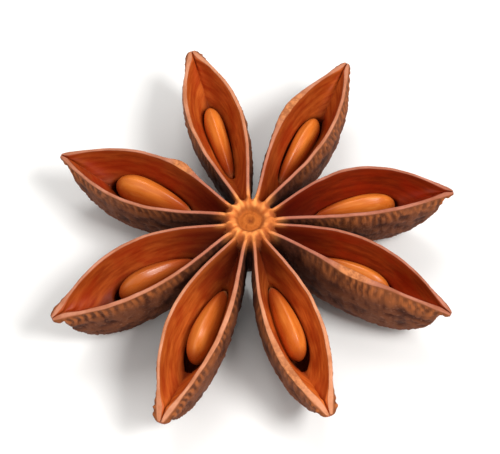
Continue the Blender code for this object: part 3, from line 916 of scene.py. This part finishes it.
def huskFinish():
    s = Shader("huskFinish")
    look = huskLook
    names = ("inside", "fromCrest", "alongShare", "relief", "tone", "thickRim", "neckShade",
             "ring", "ringRidge", "ringStreak", "dimple", "dimpleLine")
    fact = {name: s.attribute(name) for name in names}
    inside = fact["inside"]
    place = s.attribute("wallPlace", "Vector")
    objectPlace = s.node("ShaderNodeTexCoord").outputs["Object"]
    blotch = s.noise(objectPlace, look["blotchFineness"], 4.0, 0.6)
    fine = s.noise(objectPlace, look["fineFineness"], 3.0, 0.6)
    streak = s.noise(s.stretched(place, 0.5, 2.6, 1.0), 1.0, 5.0, 0.6)
    patch = s.noise(s.stretched(place, 0.35, 0.5, 1.0), 1.0, 2.0, 0.5)

    base = s.blend(inside, wallColour(s, fact, blotch, fine), insideColour(s, fact, streak, patch))
    outerRim = s.steps(fact["fromCrest"], 0.05, 0.20, 1.0, 0.0)
    innerRim = s.steps(fact["fromCrest"], 0.04, 0.13, 1.0, 0.0)
    rim = s.mix(inside, outerRim, innerRim)
    base = s.blend(rim, base, rimColour(s, fact, streak, blotch, fine))
    base = s.blend(s.value("MULTIPLY", fact["ring"], 0.95), base, ringColour(s, fact, blotch))

    glossy = s.value("MULTIPLY", inside, s.value("SUBTRACT", 1.0, rim))
    rough = s.steps(glossy, 0.0, 1.0, look["wallRoughness"], look["insideRoughness"])
    rough = s.value("ADD", rough, s.steps(blotch, 0.3, 0.7, -0.05, 0.08))
    bumpy = s.value("MULTIPLY", s.steps(glossy, 0.0, 1.0, 1.0, look["insideBump"]), fine)
    return s.finish(base, rough, look["specular"], bumpy, look["bump"], look["bumpHeight"])


seedLook = {
    "cloud": ((0.560, 0.125, 0.013), (0.720, 0.200, 0.026)), "streak": (0.800, 0.280, 0.050),
    "shade": (0.340, 0.070, 0.010), "innerEnd": (0.380, 0.055, 0.008),
    "outerEndShade": (0.420, 0.085, 0.012), "scar": (0.520, 0.200, 0.070),
    "roughness": (0.24, 0.40), "specular": 0.35, "bump": 0.25, "bumpHeight": 0.00006,
}


def seedFinish():
    s = Shader("seedFinish")
    look = seedLook
    place = s.attribute("seedPlace", "Vector")
    streak = s.noise(s.stretched(place, 0.7, 5.0, 5.0), 1.0, 5.0, 0.6)
    cloud = s.noise(place, 1.3, 2.0, 0.5)
    base = s.blend(s.steps(cloud, 0.3, 0.7), *look["cloud"])
    base = s.blend(s.steps(streak, 0.48, 0.72, 0.0, 0.5), base, look["streak"])
    # the colour at the seed's outer end is painted shade
    for name in ("shade", "innerEnd", "outerEndShade", "scar"):
        base = s.blend(s.attribute(name), base, look[name])
    rough = s.steps(streak, 0.3, 0.7, *look["roughness"])
    return s.finish(base, rough, look["specular"], streak, look["bump"], look["bumpHeight"])


def wear(piece, material, slotName, *nodes):
    piece.data.materials.clear()
    piece.data.materials.append(material)
    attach(piece, "root")
    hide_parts(*nodes)


# in metres, but the sensor's width in millimetres
studio = {
    "floorSize": 1.6, "floorColour": (0.83, 0.82, 0.80), "floorRoughness": 0.9,
    "worldColour": (1.0, 1.0, 1.0), "worldLight": 0.55, "aimHeight": 0.0065,
    "cameraDistance": 0.300, "cameraAzimuth": -90.0, "cameraElevation": 62.0,
    "sensor": 36.0, "viewWidth": 0.041, "clipStart": 0.01,
    "lights": [
        {"name": "keyLight", "azimuth": -25.0, "elevation": 56.0,
         "distance": 0.45, "size": 0.16, "power": 1.7},
        {"name": "topLight", "azimuth": 100.0, "elevation": 62.0,
         "distance": 0.50, "size": 0.22, "power": 0.9},
        {"name": "fillLight", "azimuth": -130.0, "elevation": 40.0,
         "distance": 0.50, "size": 0.40, "power": 0.5},
    ],
}


def aimed(obj, azimuth, elevation, distance):
    # azimuth counter-clockwise from +X, seen from above
    aim = Vector((0.0, 0.0, studio["aimHeight"]))
    a, e = math.radians(azimuth), math.radians(elevation)
    away = Vector((math.cos(a) * math.cos(e), math.sin(a) * math.cos(e), math.sin(e)))
    obj.location = aim + distance * away
    obj.rotation_euler = (aim - obj.location).to_track_quat("-Z", "Y").to_euler()


def addFloor():
    deselectAll()
    bpy.ops.mesh.primitive_plane_add(size=studio["floorSize"])
    floor = bpy.context.object
    floor.name = "floor"
    s = Shader("floorFinish")
    s.feed(s.surface.inputs["Base Color"], studio["floorColour"])
    s.feed(s.surface.inputs["Roughness"], studio["floorRoughness"])
    floor.data.materials.append(s.material)


def addLights():
    for row in studio["lights"]:
        bpy.ops.object.light_add(type="AREA")
        light = bpy.context.object
        light.name = row["name"]
        light.data.size = row["size"]
        light.data.energy = row["power"]
        aimed(light, row["azimuth"], row["elevation"], row["distance"])
    world = bpy.data.worlds.new("studioWorld")
    world.use_nodes = True
    background = world.node_tree.nodes["Background"]
    background.inputs["Color"].default_value = (*studio["worldColour"], 1.0)
    background.inputs["Strength"].default_value = studio["worldLight"]
    bpy.context.scene.world = world


def addCamera():
    bpy.ops.object.camera_add()
    camera = bpy.context.object
    camera.name = "camera"
    camera.data.sensor_width = studio["sensor"]
    camera.data.lens = studio["sensor"] * studio["cameraDistance"] / studio["viewWidth"]
    camera.data.clip_start = studio["clipStart"]
    aimed(camera, studio["cameraAzimuth"], studio["cameraElevation"], studio["cameraDistance"])
    bpy.context.scene.camera = camera
    bpy.context.scene.view_settings.view_transform = "Standard"


print("folding the follicles")
slab = addSlab()
made = [foldSlab(slab, row, number) for number, row in enumerate(follicleRows, start=1)]
bpy.data.objects.remove(slab)

print("turning the column")
pod = addColumn()
columnPoints = readPoints(pod) / mm
sources = [(points, facts) for piece, points, facts in made] + [(columnPoints, columnFacts(columnPoints))]

print("joining the follicles to the column")
joinFollicles(pod, [piece for piece, points, facts in made])
softenJoints(pod)
markHusk(pod, sources)
selectOnly(pod)
bpy.ops.object.shade_smooth()
wear(pod, huskFinish(), "husk", "husk")

print("laying in the seeds")
seedMaster, seedUnit = modelSeed()
seedMaterial = seedFinish()
for number, row in enumerate(follicleRows, start=1):
    wear(placeSeed(seedMaster, seedUnit, row, number), seedMaterial, "seed", f"seed_{number}")
bpy.data.objects.remove(seedMaster)

print("setting the floor, the lights and the camera")
addFloor()
addLights()
addCamera()
